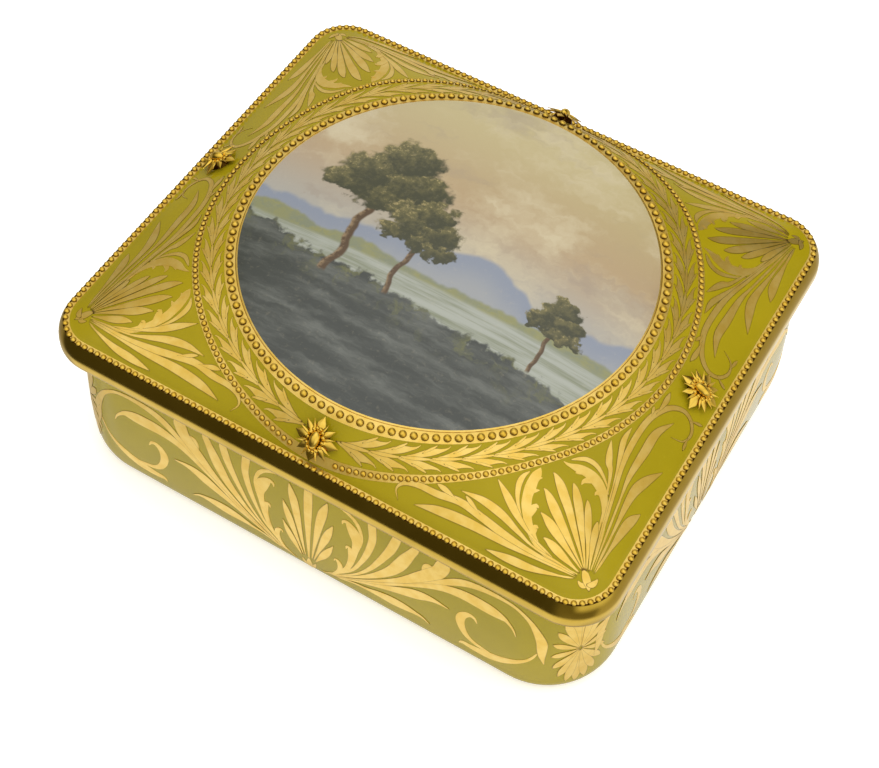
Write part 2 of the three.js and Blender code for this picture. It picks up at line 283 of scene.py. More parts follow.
# a socket in an expression: operators add Math nodes, make adds any other node
class Shade:
    def __init__(self, tree, socket=None):
        self.tree = tree
        self.socket = socket

    def make(self, kind, settings=None, sockets=None, output=0):
        node = self.tree.nodes.new(kind)
        for key, value in (settings or {}).items():
            if key == "stops":
                ramp = node.color_ramp
                while len(ramp.elements) < len(value):
                    ramp.elements.new(0.5)
                for element, (position, colour) in zip(ramp.elements, value):
                    element.position = position
                    element.color = (*colour, 1)
            else:
                setattr(node, key, value)
        for key, value in (sockets or {}).items():
            if isinstance(value, Shade):
                self.tree.links.new(value.socket, node.inputs[key])
            elif isinstance(value, tuple) and node.inputs[key].type == "RGBA":
                node.inputs[key].default_value = (*value, 1)
            else:
                node.inputs[key].default_value = value
        return Shade(self.tree, node.outputs[output])

    def math(self, operation, first, second=0.0):
        return self.make("ShaderNodeMath", {"operation": operation}, {0: first, 1: second})

    def __add__(self, other):
        return self.math("ADD", self, other)

    __radd__ = __add__

    def __sub__(self, other):
        return self.math("SUBTRACT", self, other)

    def __mul__(self, other):
        return self.math("MULTIPLY", self, other)

    __rmul__ = __mul__

    def fade(self, low, high):
        return self.make("ShaderNodeMapRange", {"interpolation_type": "SMOOTHSTEP"},
                         {"Value": self, "From Min": low, "From Max": high})

    def mix(self, below, above):
        return self.make("ShaderNodeMix", {"data_type": "RGBA"}, {0: self, 6: below, 7: above}, 2)

    def noise(self, scale, detail=2.0, roughness=0.5):
        return self.make("ShaderNodeTexNoise", None,
                         {"Vector": self, "Scale": scale, "Detail": detail, "Roughness": roughness})

    def stretch(self, x, y, z, shift=(0, 0, 0)):
        return self.make("ShaderNodeMapping", None, {"Vector": self, "Scale": (x, y, z), "Location": shift})

    def axes(self):
        split = self.tree.nodes.new("ShaderNodeSeparateXYZ")
        self.tree.links.new(self.socket, split.inputs[0])
        return [Shade(self.tree, output) for output in split.outputs]


# a new finish: returns the material, its shader, and the point of the surface in millimetres
def newFinish(name):
    finish = bpy.data.materials.new(name)
    finish.use_nodes = True
    tree = finish.node_tree
    shader = tree.nodes["Principled BSDF"]
    start = Shade(tree).make("ShaderNodeTexCoord", None, None, "Object")
    point = start.make("ShaderNodeVectorMath", {"operation": "SCALE"}, {0: start, "Scale": 1 / mm})
    return finish, shader, point


def feed(shader, sockets):
    for key, value in sockets.items():
        if isinstance(value, Shade):
            value.tree.links.new(value.socket, shader.inputs[key])
        elif isinstance(value, tuple):
            shader.inputs[key].default_value = (*value, 1)
        else:
            shader.inputs[key].default_value = value


def bump(height, strength, distance):
    return height.make("ShaderNodeBump", None,
                       {"Height": height, "Strength": strength, "Distance": distance}, "Normal")


glazeLook = {"deep": (0.32, 0.250, 0.006), "full": (0.37, 0.285, 0.008), "thin": (0.41, 0.325, 0.020),
             "roughness": 0.05, "specular": 0.15}


def greenGlaze():
    finish, shader, point = newFinish("olive_glaze")
    cloud = point.noise(0.045, 3.0, 0.55)
    speckle = point.noise(1.6, 2.0, 0.6)
    ground = cloud.fade(0.3, 0.7).mix(glazeLook["deep"], glazeLook["full"])
    ground = (speckle.fade(0.58, 0.75) * 0.25).mix(ground, glazeLook["thin"])
    peel = point.noise(0.55, 1.0, 0.4) + 0.15 * point.noise(2.2, 1.0, 0.4)
    feed(shader, {
        "Base Color": ground,
        "Roughness": glazeLook["roughness"] + 0.05 * cloud,
        "Specular IOR Level": glazeLook["specular"],
        "Normal": bump(peel, 0.06, 0.0002),
    })
    return finish


def whiteGlaze():
    finish, shader, point = newFinish("white_glaze")
    cloud = point.noise(0.06, 3.0, 0.5)
    pin = point.noise(2.4, 2.0, 0.7)
    ground = cloud.fade(0.3, 0.7).mix((0.74, 0.72, 0.66), (0.82, 0.80, 0.75))
    ground = (pin.fade(0.70, 0.78) * 0.3).mix(ground, (0.5, 0.46, 0.38))
    feed(shader, {
        "Base Color": ground,
        "Roughness": 0.07 + 0.06 * cloud,
        "Coat Weight": 0.3,
        "Coat Roughness": 0.03,
        "Normal": bump(point.noise(0.5, 1.0, 0.4), 0.08, 0.0002),
    })
    return finish


def bareClay():
    finish, shader, point = newFinish("bare_clay")
    grain = point.noise(3.5, 4.0, 0.65)
    feed(shader, {
        "Base Color": grain.fade(0.3, 0.7).mix((0.56, 0.52, 0.45), (0.70, 0.67, 0.60)),
        "Roughness": 0.6 + 0.2 * grain,
        "Normal": bump(grain, 0.4, 0.0001),
    })
    return finish


# the brown is painted shade along the edges of the flat gilding; the hollow colour is painted shade on the
# low parts of the raised gold and in the strip outside the border beads
goldLook = {"bright": (0.92, 0.66, 0.18), "warm": (0.84, 0.56, 0.10), "shadeBrown": (0.12, 0.066, 0.008),
            "raised": (0.95, 0.66, 0.12), "raisedWarm": (0.87, 0.55, 0.06), "shadedHollow": (0.075, 0.036, 0.004)}


def flatGold(name, edgeShade):
    finish, shader, point = newFinish(name)
    edge = point.make("ShaderNodeAttribute", {"attribute_name": "edge"}, None, "Fac")
    cloud = point.noise(0.35, 3.0, 0.6)
    brush = point.noise(5.0, 3.0, 0.65)
    metal = cloud.fade(0.3, 0.7).mix(goldLook["warm"], goldLook["bright"])
    # painted shade: the gold turns brown along each leaf's edges, where the edge attribute is high
    metal = (edge.fade(0.3, 0.9) * edgeShade).mix(metal, goldLook["shadeBrown"])
    feed(shader, {
        "Base Color": metal,
        "Metallic": 0.85,
        "Roughness": 0.24 + 0.12 * brush,
        "Normal": bump(brush, 0.12, 0.00005),
    })
    return finish


def raisedGold(name, roughness):
    finish, shader, point = newFinish(name)
    crown = point.make("ShaderNodeAttribute", {"attribute_name": "crown"}, None, "Fac")
    cloud = point.noise(0.8, 3.0, 0.6)
    metal = cloud.fade(0.3, 0.7).mix(goldLook["raisedWarm"], goldLook["raised"])
    # painted shade: low points of the raised gold, and pieces without heights, darken towards the hollow
    # colour
    metal = crown.fade(0.2, 0.7).mix(goldLook["shadedHollow"], metal)
    feed(shader, {
        "Base Color": metal,
        "Metallic": 1.0,
        "Roughness": roughness + 0.10 * cloud,
        "Normal": bump(point.noise(6.0, 2.0, 0.6), 0.10, 0.00004),
    })
    return finish


def burnishedGold():
    finish, shader, point = newFinish("burnished_gold")
    cloud = point.noise(0.12, 3.0, 0.6)
    rub = point.noise(3.0, 3.0, 0.6)
    metal = cloud.fade(0.3, 0.7).mix((0.52, 0.345, 0.04), (0.62, 0.42, 0.06))
    feed(shader, {
        "Base Color": metal,
        "Metallic": 1.0,
        "Roughness": 0.10 + 0.08 * rub,
        "Normal": bump(point.noise(0.7, 2.0, 0.5), 0.06, 0.0001),
    })
    return finish


# a quiet painted landscape: sky, far hills, a lake with a green shore, trees and a dark near bank
landscape = {
    "skyTop": (0.48, 0.41, 0.22), "skyWarm": (0.41, 0.30, 0.18), "skyLow": (0.36, 0.36, 0.34),
    "cloud": (0.58, 0.51, 0.35), "cloudShade": (0.30, 0.245, 0.20),
    "farHill": (0.23, 0.26, 0.33), "midHill": (0.20, 0.22, 0.15), "shore": (0.25, 0.25, 0.11),
    "lake": (0.36, 0.38, 0.34), "bank": (0.042, 0.048, 0.044), "bankLight": (0.17, 0.18, 0.165),
    "grass": (0.13, 0.135, 0.06), "leafDark": (0.045, 0.047, 0.024), "leafMid": (0.14, 0.125, 0.05),
    "leafLight": (0.33, 0.27, 0.12), "bark": (0.085, 0.05, 0.025), "barkLight": (0.26, 0.18, 0.10),
    "brush": 7, "softBrush": 2,
    "trees": [(-19, -18, 42), (-6, -17, 27), (28, -18, 20)],
    "clumps": [(0.02, 0.52, 0.17, 0.09), (-0.21, 0.54, 0.15, 0.08), (0.21, 0.50, 0.15, 0.08),
               (-0.11, 0.67, 0.19, 0.11), (0.14, 0.66, 0.18, 0.11), (0.01, 0.82, 0.17, 0.12)],
}


def paintedField():
    finish, shader, point = newFinish("painted_field")
    look = landscape

    def ridge(scale, seed, height, swing):
        wave = point.stretch(scale, 0, 0, (seed, seed * 0.7, 0)).noise(1.0, 4.0, 0.55)
        return height + swing * (wave - 0.5)

    def wander(reach):
        return point.make("ShaderNodeVectorMath", {"operation": "MULTIPLY_ADD"},
                          {0: touch, 1: (reach, reach, 0), 2: point})

    x, y, _ = point.axes()
    touch = point.make("ShaderNodeTexNoise", None, {"Vector": point, "Scale": 0.4, "Detail": 5.0}, "Color")
    brushed, soft = wander(look["brush"]), wander(look["softBrush"])
    brushX, brushY, _ = brushed.axes()
    brushX, brushY = brushX - look["brush"] / 2, brushY - look["brush"] / 2

    sky = y.fade(6, 40).mix(look["skyWarm"], look["skyTop"])
    sky = y.fade(14, -10).mix(sky, look["skyLow"])
    billow = brushed.stretch(0.022, 0.045, 0, (3.1, 0.4, 0)).noise(1.0, 6.0, 0.6)
    wisp = brushed.stretch(0.03, 0.10, 0, (7.3, 2.2, 0)).noise(1.0, 5.0, 0.6)
    picture = (billow.fade(0.46, 0.66) * 0.85).mix(sky, look["cloud"])
    picture = (wisp.fade(0.52, 0.74) * 0.5).mix(picture, look["cloudShade"])

    farTop = ridge(0.030, 2.0, -3.0, 20.0)
    picture = (y - farTop).fade(0.7, -0.7).mix(picture, look["farHill"])
    picture = ((y - farTop).fade(-1, -9) * 0.55).mix(picture, look["skyLow"])
    midTop = ridge(0.055, 5.5, -8.5, 11.0)
    folds = brushed.stretch(0.12, 0.3, 0).noise(1.0, 4.0, 0.6)
    midTone = folds.fade(0.35, 0.65).mix(look["midHill"], look["shore"])
    picture = (y - midTop).fade(0.5, -0.5).mix(picture, midTone)
    ripple = point.stretch(0.04, 0.8, 0).noise(1.0, 4.0, 0.6)
    water = ripple.fade(0.38, 0.72).mix(look["lake"], look["midHill"])
    picture = y.fade(-10.4, -11.8).mix(picture, water)

    bankTop = ridge(0.022, 8.8, -16.0, 13.0) - 0.09 * x
    stroke = soft.stretch(0.05, 0.26, 0, (1.0, 4.0, 0)).noise(1.0, 6.0, 0.62)
    bank = (stroke.fade(0.38, 0.82) * 0.9).mix(look["bank"], look["bankLight"])
    tuft = brushed.stretch(0.2, 0.2, 0, (5.0, 2.0, 0)).noise(1.0, 5.0, 0.6)
    bank = (tuft.fade(0.5, 0.7) * (brushY - bankTop).fade(-9, 0)).mix(bank, look["grass"])
    picture = (brushY - bankTop).fade(0.7, -0.5).mix(picture, bank)

    grain = point.noise(0.7, 5.0, 0.65)
    dab = point.noise(1.6, 3.0, 0.6).fade(0.48, 0.66)
    for centreX, foot, height in look["trees"]:
        lean = point.stretch(0, 0.10, 0, (centreX, 0, 0)).noise(1.0, 2.0, 0.5)
        offset = (x - centreX) + 6 * (lean - 0.5)
        trunk = point.math("ABSOLUTE", offset).fade(height * 0.030, height * 0.016)
        trunk = trunk * y.fade(foot - 1, foot) * y.fade(foot + height * 0.75, foot + height * 0.6)
        barkTone = (offset.fade(0.3, -0.7) * grain.fade(0.4, 0.6)).mix(look["bark"], look["barkLight"])
        picture = trunk.mix(picture, barkTone)
        for shiftX, shiftY, halfX, halfY in look["clumps"]:
            offX = (brushX - (centreX + shiftX * height)) * (1 / (halfX * height))
            offY = (brushY - (foot + shiftY * height)) * (1 / (halfY * height))
            mask = (offX * offX + offY * offY).fade(1.25, 0.7)
            sunny = (0.7 * offY - 0.5 * offX + 2.4 * (grain - 0.5)).fade(-0.6, 1.0)
            tone = sunny.mix(look["leafDark"], look["leafMid"])
            tone = (sunny.fade(0.45, 0.95) * dab).mix(tone, look["leafLight"])
            picture = mask.mix(picture, tone)

    daub = point.noise(0.9, 4.0, 0.6)
    picture = (daub.fade(0.55, 0.8) * 0.10).mix(picture, look["cloud"])
    feed(shader, {
        "Base Color": picture,
        "Roughness": 0.10 + 0.06 * daub,
        "Coat Weight": 0.3,
        "Coat Roughness": 0.04,
        "Normal": bump(point.noise(0.5, 1.0, 0.4), 0.05, 0.0002),
    })
    return finish


oliveGlaze = greenGlaze()
innerGlaze = whiteGlaze()
footClay = bareClay()
# the second number sets how strong the painted shade along the leaf edges is
leafGold = flatGold("flat_gilding", 0.9)
wallGold = flatGold("wall_gilding", 0.55)
beadGold = raisedGold("bead_gilding", 0.36)
bossGold = raisedGold("boss_gilding", 0.18)
rimGold = burnishedGold()
fieldPaint = paintedField()
print("finishes made")


def makeBase():
    plan = basePlan
    outside, inside, foot = range(3)
    footOuter = baseInset + plan["roundWidth"]
    top = plan["height"] - plan["mouthRound"]

    def mouthRow(inset, sign, turn):
        angle = math.radians(turn)
        inset += sign * plan["mouthRound"] * (1 - math.cos(angle))
        return baseRow(inset, top + plan["mouthRound"] * math.sin(angle))

    layers = [
        (baseRow(footOuter + plan["footWidth"] + plan["footTaper"], plan["footHeight"]), inside),
        (baseRow(footOuter + plan["footWidth"], 0), inside),
        (baseRow(footOuter, 0), foot),
    ]
    count = plan["wallRows"]
    steps = range(1, count + 1)
    heights = [plan["roundHeight"] * (1 - math.cos(i / count * quarterTurn)) for i in steps]
    heights += [plan["roundHeight"] + (top - plan["roundHeight"]) * i / count for i in steps]
    layers += [(baseRow(wallInset(height), height), outside) for height in heights]
    layers += [(mouthRow(wallInset(top), 1, turn), outside) for turn in plan["mouthTurns"]]
    innerTurns = (*reversed(plan["mouthTurns"]), 0)
    layers += [(mouthRow(wallInset(top) + plan["wall"], -1, turn), inside) for turn in innerTurns]
    filletTop = plan["footHeight"] + plan["floor"] + plan["floorFillet"]
    for i in range(count - 1, 0, -1):
        height = filletTop + (top - filletTop) * i / count
        share = (height - filletTop) / (plan["height"] - filletTop)
        layers.append((baseRow(baseInset + plan["wall"] + plan["swell"] * share ** 2, height), inside))
    for i in range(plan["filletRows"] + 1):
        angle = i / plan["filletRows"] * quarterTurn
        inset = baseInset + plan["wall"] + plan["floorFillet"] * (1 - math.cos(angle))
        layers.append((baseRow(inset, filletTop - plan["floorFillet"] * math.sin(angle)), inside))
    body = loftRows("base_body", layers)
    place(body, "base", [oliveGlaze, innerGlaze, footClay], ["box_base"])


def makeLid():
    plan = lidPlan
    glaze, rim, inner, line, shadedHollow = range(5)
    edgeRow = lidRow(plan["ledgeInner"], plan["ledgeHeight"])
    fieldRow = rowTowardsField(edgeRow, 1, 0)
    layers = [([(x, y, plan["recessFloor"]) for x, y, _ in fieldRow], line)]
    for i in range(plan["slopeRows"] + 1):
        layers.append((rowTowardsField(edgeRow, 1 - i / plan["slopeRows"], 0), glaze if i else line))
    for inset in (plan["ledgeInner"] - plan["goldLine"], plan["shadedHollow"]):
        layers.append((lidRow(inset, plan["ledgeHeight"]), line))
    steps = plan["rimRows"]
    for i in range(steps):
        share = 1 - i / steps
        height = lipHeight + (plan["ledgeHeight"] - lipHeight) * share
        # the band at i = 0, from the hollow inset out to the rim's top, takes the bead gold with no heights,
        # so it is all dark: painted shade beside the border beads
        layers.append((lidRow(plan["rimRun"] * share ** plan["rimFullness"], height), rim if i else shadedHollow))
    for i in range(steps + 1):
        angle = i / steps * quarterTurn
        height = lipHeight - plan["rimLip"] * math.sin(angle)
        layers.append((lidRow(plan["rimTuck"] * (1 - math.cos(angle)), height), rim))
    flangeTop = basePlan["height"]
    flangeEnd = flangeTop - plan["flangeDepth"]
    inside = baseRow(plan["flangeInset"] + plan["flangeWall"], flangeEnd)
    flange = [baseRow(plan["flangeInset"], flangeTop), baseRow(plan["flangeInset"], flangeEnd), inside]
    layers += [(row, inner) for row in flange]
    for i in range(plan["insideRows"] + 1):
        layers.append((rowTowardsField(inside, i / plan["insideRows"], plan["wall"]), inner))
    body = loftRows("lid_body", layers)
    place(body, "lid", [oliveGlaze, rimGold, innerGlaze, leafGold, beadGold], ["lid_shell"])


plaquePlan = {"seat": 43.89, "field": 43.45, "bottom": 48.71, "shoulder": 49.95, "edge": 50.25, "dome": 2.96,
              "points": 160, "rings": 20, "bevel": 0.12, "tip": 0.05}


def makePlaque():
    plan = plaquePlan

    side, field = range(2)

    def ringRow(radius, height):
        angles = [2 * math.pi * i / plan["points"] for i in range(plan["points"])]
        return [(radius * math.cos(angle), radius * math.sin(angle), height) for angle in angles]

    layers = [
        (ringRow(plan["seat"], plan["bottom"]), side),
        (ringRow(plan["seat"], plan["shoulder"]), side),
        (ringRow(plan["seat"] - plan["bevel"], plan["edge"] - plan["bevel"]), side),
        (ringRow(plan["field"], plan["edge"]), side),
    ]
    for i in range(1, plan["rings"] + 1):
        share = 1 - i / plan["rings"]
        height = plan["edge"] + plan["dome"] * (1 - share ** 2)
        layers.append((ringRow(max(plan["field"] * share, plan["tip"]), height), field))
    plaque = loftRows("painted_plaque", layers, pointedEnd=True)
    place(plaque, "lid", [leafGold, fieldPaint], ["painted_medallion"])


makeBase()
makeLid()
makePlaque()
print("base, lid and plaque made")

# strings of small beads, each a flattened ball standing on the lid by its cut
beadPlan = {
    "medallion": {"radius": 45.04, "bead": 1.62, "flat": 0.85, "count": 132},
    "wreath": {"radius": 52.09, "bead": 1.24, "flat": 0.75, "pitch": 1.47, "clear": 0.101},
    "border": {"inset": 2.0, "bead": 1.24, "flat": 0.7, "pitch": 1.58},
    "sink": 0.10, "segments": 12, "rings": 6, "spin": 2.4, "smooth": 60,
}


# a ball squeezed to three half sizes, cut off below and stood on the cut
def cutBall(segments, rings, halves, cut):
    deselectAll()
    bpy.ops.mesh.primitive_uv_sphere_add(segments=segments, ring_count=rings, radius=mm)
    ball = bpy.context.object
    startEdit()
    bpy.ops.transform.resize(value=halves)
    bpy.ops.mesh.bisect(plane_co=(0, 0, -cut * mm), plane_no=(0, 0, 1), use_fill=True, clear_inner=True)
    endEdit()
    ball.data.transform(Matrix.Translation((0, 0, cut * mm)))
    return ball


def makeBead(diameter, flat):
    half = diameter / 2
    cut = beadPlan["sink"] * diameter
    bead = cutBall(beadPlan["segments"], beadPlan["rings"], (half, half, half * flat), cut)
    paintCrown(bead)
    smooth(bead, beadPlan["smooth"])
    return bead


# keeps how far each point stands up, so that the low parts of the raised gold get painted shade
def paintCrown(piece, low=None, high=None):
    heights = [vertex.co.z for vertex in piece.data.vertices]
    low = min(heights) if low is None else low
    high = max(heights) if high is None else high
    layer = piece.data.attributes.new("crown", "FLOAT", "POINT")
    for index, height in enumerate(heights):
        layer.data[index].value = min(max((height - low) / (high - low), 0), 1)


def stringBeads(name, ring, spots, node):
    bead = makeBead(ring["bead"], ring["flat"])
    copies = []
    for index, (x, y) in enumerate(spots):
        twin = copyPiece(bead, f"{name}_{index}")
        turn = Matrix.Rotation(index * beadPlan["spin"], 4, "Z")
        twin.data.transform(standOnLid(x, y) @ turn)
        copies.append(twin)
    bpy.data.objects.remove(bead)
    string = joinAll(name, copies)
    place(string, "lid", [beadGold], [node])


def roundSpots(radius, start, end, count, closed):
    steps = count if closed else count - 1
    angles = [start + (end - start) * i / steps for i in range(count)]
    return [(radius * math.cos(angle), radius * math.sin(angle)) for angle in angles]


def borderSpots():
    plan = beadPlan["border"]
    halfX, halfY = lidPlan["halfX"] - plan["inset"], lidPlan["halfY"] - plan["inset"]
    radius = lidPlan["corner"] - plan["inset"]
    straightX, straightY = 2 * (halfX - radius), 2 * (halfY - radius)
    arc = radius * quarterTurn
    sides = [straightY, straightX, straightY, straightX]
    total = sum(sides) + 4 * arc
    count = round(total / plan["pitch"])
    spots = []
    for i in range(count):
        left = total * i / count
        for side, straight in enumerate(sides):
            reach, depth = (halfX, halfY) if side % 2 == 0 else (halfY, halfX)
            if left < straight:
                spot = Vector((reach, left - straight / 2))
                break
            left -= straight
            if left < arc:
                angle = left / radius
                spot = Vector((reach - radius + radius * math.cos(angle),
                               depth - radius + radius * math.sin(angle)))
                break
            left -= arc
        turned = Matrix.Rotation(side * quarterTurn, 2) @ spot
        spots.append((turned.x, turned.y))
    return spots


def makeBeads():
    ring = beadPlan["medallion"]
    spots = roundSpots(ring["radius"], 0, 2 * math.pi, ring["count"], True)
    stringBeads("field_beads", ring, spots, "medallion_beads")
    ring = beadPlan["wreath"]
    half = quarterTurn - ring["clear"]
    count = round(2 * half * ring["radius"] / ring["pitch"]) + 1
    halves = [("right_beads", 0, "wreath_beads_right"), ("left_beads", math.pi, "wreath_beads_left")]
    for name, middle, node in halves:
        spots = roundSpots(ring["radius"], middle - half, middle + half, count, False)
        stringBeads(name, ring, spots, node)
    stringBeads("edge_beads", beadPlan["border"], borderSpots(), "border_beads")


makeBeads()
print("bead strings made")

# a boss: raised leaves on a low hub, a ring of tiny beads and an oval cabochon
bossPlan = {
    "front": (0, -49.59, -90), "right": (57.545, 0, 0), "back": (0, 49.59, 90), "left": (-57.545, 0, 180),
    "rings": [
        {"from": 1.5, "to": 4.9, "half": 1.15, "rise": 1.40, "drop": 0.70, "count": 4, "turn": 0},
        {"from": 1.5, "to": 4.5, "half": 0.72, "rise": 1.50, "drop": 0.40, "count": 4, "turn": 45},
        {"from": 1.5, "to": 4.2, "half": 0.33, "rise": 1.65, "drop": 0.15, "count": 8, "turn": 22.5},
    ],
    "keel": 0.42, "leafFoot": 0.35, "leafThick": 0.16, "leafEdgeShade": 0.42, "seat": 0.05,
    "hub": 2.5, "hubHeight": 1.45, "hubTop": 0.72, "hubInset": 0.5, "hubCrown": 0.12,
    "collar": (1.62, 2.45), "collarBead": 0.84, "collarFlat": 0.85, "collarCount": 14, "collarHeight": 1.5,
    "stone": (1.95, 1.12, 1.2), "stoneHeight": 1.5, "stoneSink": 0.2, "stoneMesh": (24, 12),
    "crownFrom": 1.2, "crownTo": 2.2, "smooth": 40,
}


def makeBossLeaf(plan):
    deselectAll()
    bpy.ops.mesh.primitive_grid_add(x_subdivisions=8, y_subdivisions=4, size=2)
    leaf = bpy.context.object
    crown = leaf.data.attributes.new("crown", "FLOAT", "POINT")
    for vertex in leaf.data.vertices:
        along, side = (vertex.co.x + 1) / 2, vertex.co.y
        # the leaves' side edges get a lower value: painted shade between the leaves
        crown.data[vertex.index].value = bossPlan["leafEdgeShade"] if abs(side) > 0.9 else 1
        foot = bossPlan["leafFoot"]
        width = plan["half"] * (foot + (1 - foot) * math.sin(math.pi * along ** 0.9)) * (1 - along ** 3)
        reach = plan["from"] + (plan["to"] - plan["from"]) * along
        height = plan["rise"] - plan["drop"] * along ** 1.6 + bossPlan["keel"] * (1 - abs(side)) * (1 - along)
        vertex.co = Vector((reach, side * width, height)) * mm
    applyModifier(leaf, "SOLIDIFY", {"thickness": bossPlan["leafThick"] * mm, "offset": -1})
    pick(leaf)
    startEdit()
    bpy.ops.mesh.select_all(action="SELECT")
    bpy.ops.mesh.remove_doubles(threshold=0.00001)
    bpy.ops.mesh.normals_make_consistent(inside=False)
    endEdit()
    leaf.data.transform(Matrix.Rotation(math.radians(plan["turn"]), 4, "Z"))
    step = 2 * math.pi / plan["count"]
    ring = [leaf]
    for i in range(1, plan["count"]):
        twin = copyPiece(leaf, f"boss_leaf_{i}")
        twin.data.transform(Matrix.Rotation(step * i, 4, "Z"))
        ring.append(twin)
    return ring


def makeHub():
    deselectAll()
    bpy.ops.mesh.primitive_cylinder_add(vertices=24, radius=bossPlan["hub"] * mm,
                                        depth=bossPlan["hubHeight"] * mm,
                                        location=(0, 0, (bossPlan["hubHeight"] / 2 + bossPlan["seat"]) * mm))
    hub = bpy.context.object
    bpy.ops.object.transform_apply()
    startEdit()
    bpy.ops.mesh.select_mode(type="FACE")
    bpy.ops.mesh.select_all(action="DESELECT")
    mesh = bmesh.from_edit_mesh(hub.data)
    for face in mesh.faces:
        if face.normal.z > 0.9:
            face.select = True
    bmesh.update_edit_mesh(hub.data)
    bpy.ops.transform.resize(value=(bossPlan["hubTop"], bossPlan["hubTop"], 1))
    bpy.ops.mesh.inset(thickness=bossPlan["hubInset"] * mm)
    bpy.ops.transform.translate(value=(0, 0, bossPlan["hubCrown"] * mm))
    endEdit()
    return hub


def makeStone():
    segments, rings = bossPlan["stoneMesh"]
    stone = cutBall(segments, rings, bossPlan["stone"], bossPlan["stoneSink"])
    stone.data.transform(Matrix.Translation((0, 0, bossPlan["stoneHeight"] * mm)))
    return stone


def makeCollar():
    bead = makeBead(bossPlan["collarBead"], bossPlan["collarFlat"])
    bead.data.attributes.remove(bead.data.attributes["crown"])
    halfWidth, halfLength = bossPlan["collar"]
    ring = []
    for i in range(bossPlan["collarCount"]):
        angle = 2 * math.pi * (i + 0.5) / bossPlan["collarCount"]
        twin = copyPiece(bead, f"collar_bead_{i}")
        spot = Vector((halfLength * math.cos(angle), halfWidth * math.sin(angle), bossPlan["collarHeight"]))
        twin.data.transform(Matrix.Translation(spot * mm))
        ring.append(twin)
    bpy.data.objects.remove(bead)
    return joinAll("boss_collar", ring)


def makeBosses():
    leaves = [leaf for plan in bossPlan["rings"] for leaf in makeBossLeaf(plan)]
    parts = {
        "leaves": (joinAll("boss_leaves", leaves + [makeHub()]), "rosette"),
        "collar": (makeCollar(), "collar"),
        "stone": (makeStone(), "cabochon"),
    }
    for part, _ in parts.values():
        # pieces without their own heights get them here, so the gold below the given heights takes painted
        # shade; the hub gets none and stays dark
        if "crown" not in part.data.attributes:
            paintCrown(part, bossPlan["crownFrom"] * mm, bossPlan["crownTo"] * mm)
        smooth(part, bossPlan["smooth"])
    for side in ("front", "right", "back", "left"):
        x, y, turn = bossPlan[side]
        stand = standOnLid(x, y) @ Matrix.Rotation(math.radians(turn), 4, "Z")
        for part, (model, node) in parts.items():
            twin = copyPiece(model, f"{side}_boss_{part}")
            twin.data.transform(stand)
            place(twin, "lid", [bossGold], [f"{side}_boss_{node}"])
    for model, _ in parts.values():
        bpy.data.objects.remove(model)


makeBosses()
print("bosses made")

# flat gilding: every leaf is a grid bent along its own spine, laid on the glaze
gildPlan = {"lift": 0.05, "layer": 0.008, "layers": 9, "thick": 0.075, "edgeShade": 0.16, "edgeShadeShare": 0.4,
            "narrowest": 0.012, "step": 0.7, "fewest": 8, "most": 60}


def spinePoint(points, share):
    spans = len(points) - 1
    at = min(int(share * spans), spans - 1)
    t = share * spans - at
    here, there = Vector(points[at]), Vector(points[at + 1])
    before = Vector(points[at - 1]) if at > 0 else here * 2 - there
    after = Vector(points[at + 2]) if at + 2 <= spans else there * 2 - here
    return 0.5 * (2 * here + (there - before) * t + (2 * before - 5 * here + 4 * there - after) * t ** 2
                  + (3 * here - before - 3 * there + after) * t ** 3)


# half width along a plain leaf; a drawn leaf has its own at every point
def leafWidth(shape, share):
    if shape == "petal":
        widest = 0.68
        rising = 0.14 + 0.86 * math.sin(quarterTurn * min(share / widest, 1)) ** 1.3
        return rising * math.cos(quarterTurn * min(max((share - widest) / (1 - widest), 0), 1)) ** 0.8
    if shape == "leaf":
        return math.sin(math.pi * share ** 1.35)
    if shape == "fan":
        return max(0.32 * min(share * 10, 1) * (1 - share), math.sin(math.pi * share ** 1.75))
    return (min(share * 4, 1) ** 0.6) * (1 - share ** 3)


def gildSheet(name, leaves):
    deselectAll()
    sheet = None
    for index, (shape, half, points) in enumerate(leaves):
        length = sum((Vector(b) - Vector(a)).length for a, b in zip(points, points[1:]))
        steps = min(max(round(length / gildPlan["step"]), gildPlan["fewest"]), gildPlan["most"])
        bpy.ops.mesh.primitive_grid_add(x_subdivisions=steps, y_subdivisions=4, size=2)
        if sheet is None:
            sheet = bpy.context.object
            sheet.name = name
            startEdit()
            mesh = bmesh.from_edit_mesh(sheet.data)
            mesh.verts.layers.float.new("edge")
        mesh = bmesh.from_edit_mesh(sheet.data)
        edge = mesh.verts.layers.float["edge"]
        lift = gildPlan["lift"] + gildPlan["layer"] * (index % gildPlan["layers"])
        for vertex in mesh.verts:
            if not vertex.select:
                continue
            share, side = (vertex.co.x + 1) / 2, vertex.co.y
            spot = spinePoint(points, share)
            width = spot.z if half is None else half * leafWidth(shape, share)
            width = max(width, gildPlan["narrowest"])
            # the outer row of each leaf carries the edge attribute, which the gold finish turns into painted
            # shade
            rim = min(gildPlan["edgeShade"], gildPlan["edgeShadeShare"] * width)
            across = math.copysign(width if abs(side) > 0.9 else width - rim, side) if abs(side) > 0.1 else 0
            step = 0.004
            heading = (spinePoint(points, min(share + step, 1)) - spinePoint(points, max(share - step, 0))).xy
            heading.normalize()
            onEdge = abs(side) > 0.9 or share < 0.001 or share > 0.999
            vertex[edge] = 1.0 if onEdge and shape != "joined" else 0.0
            vertex.co = (spot.x - heading.y * across, spot.y + heading.x * across, lift)
        bmesh.update_edit_mesh(sheet.data)
    endEdit()
    return sheet


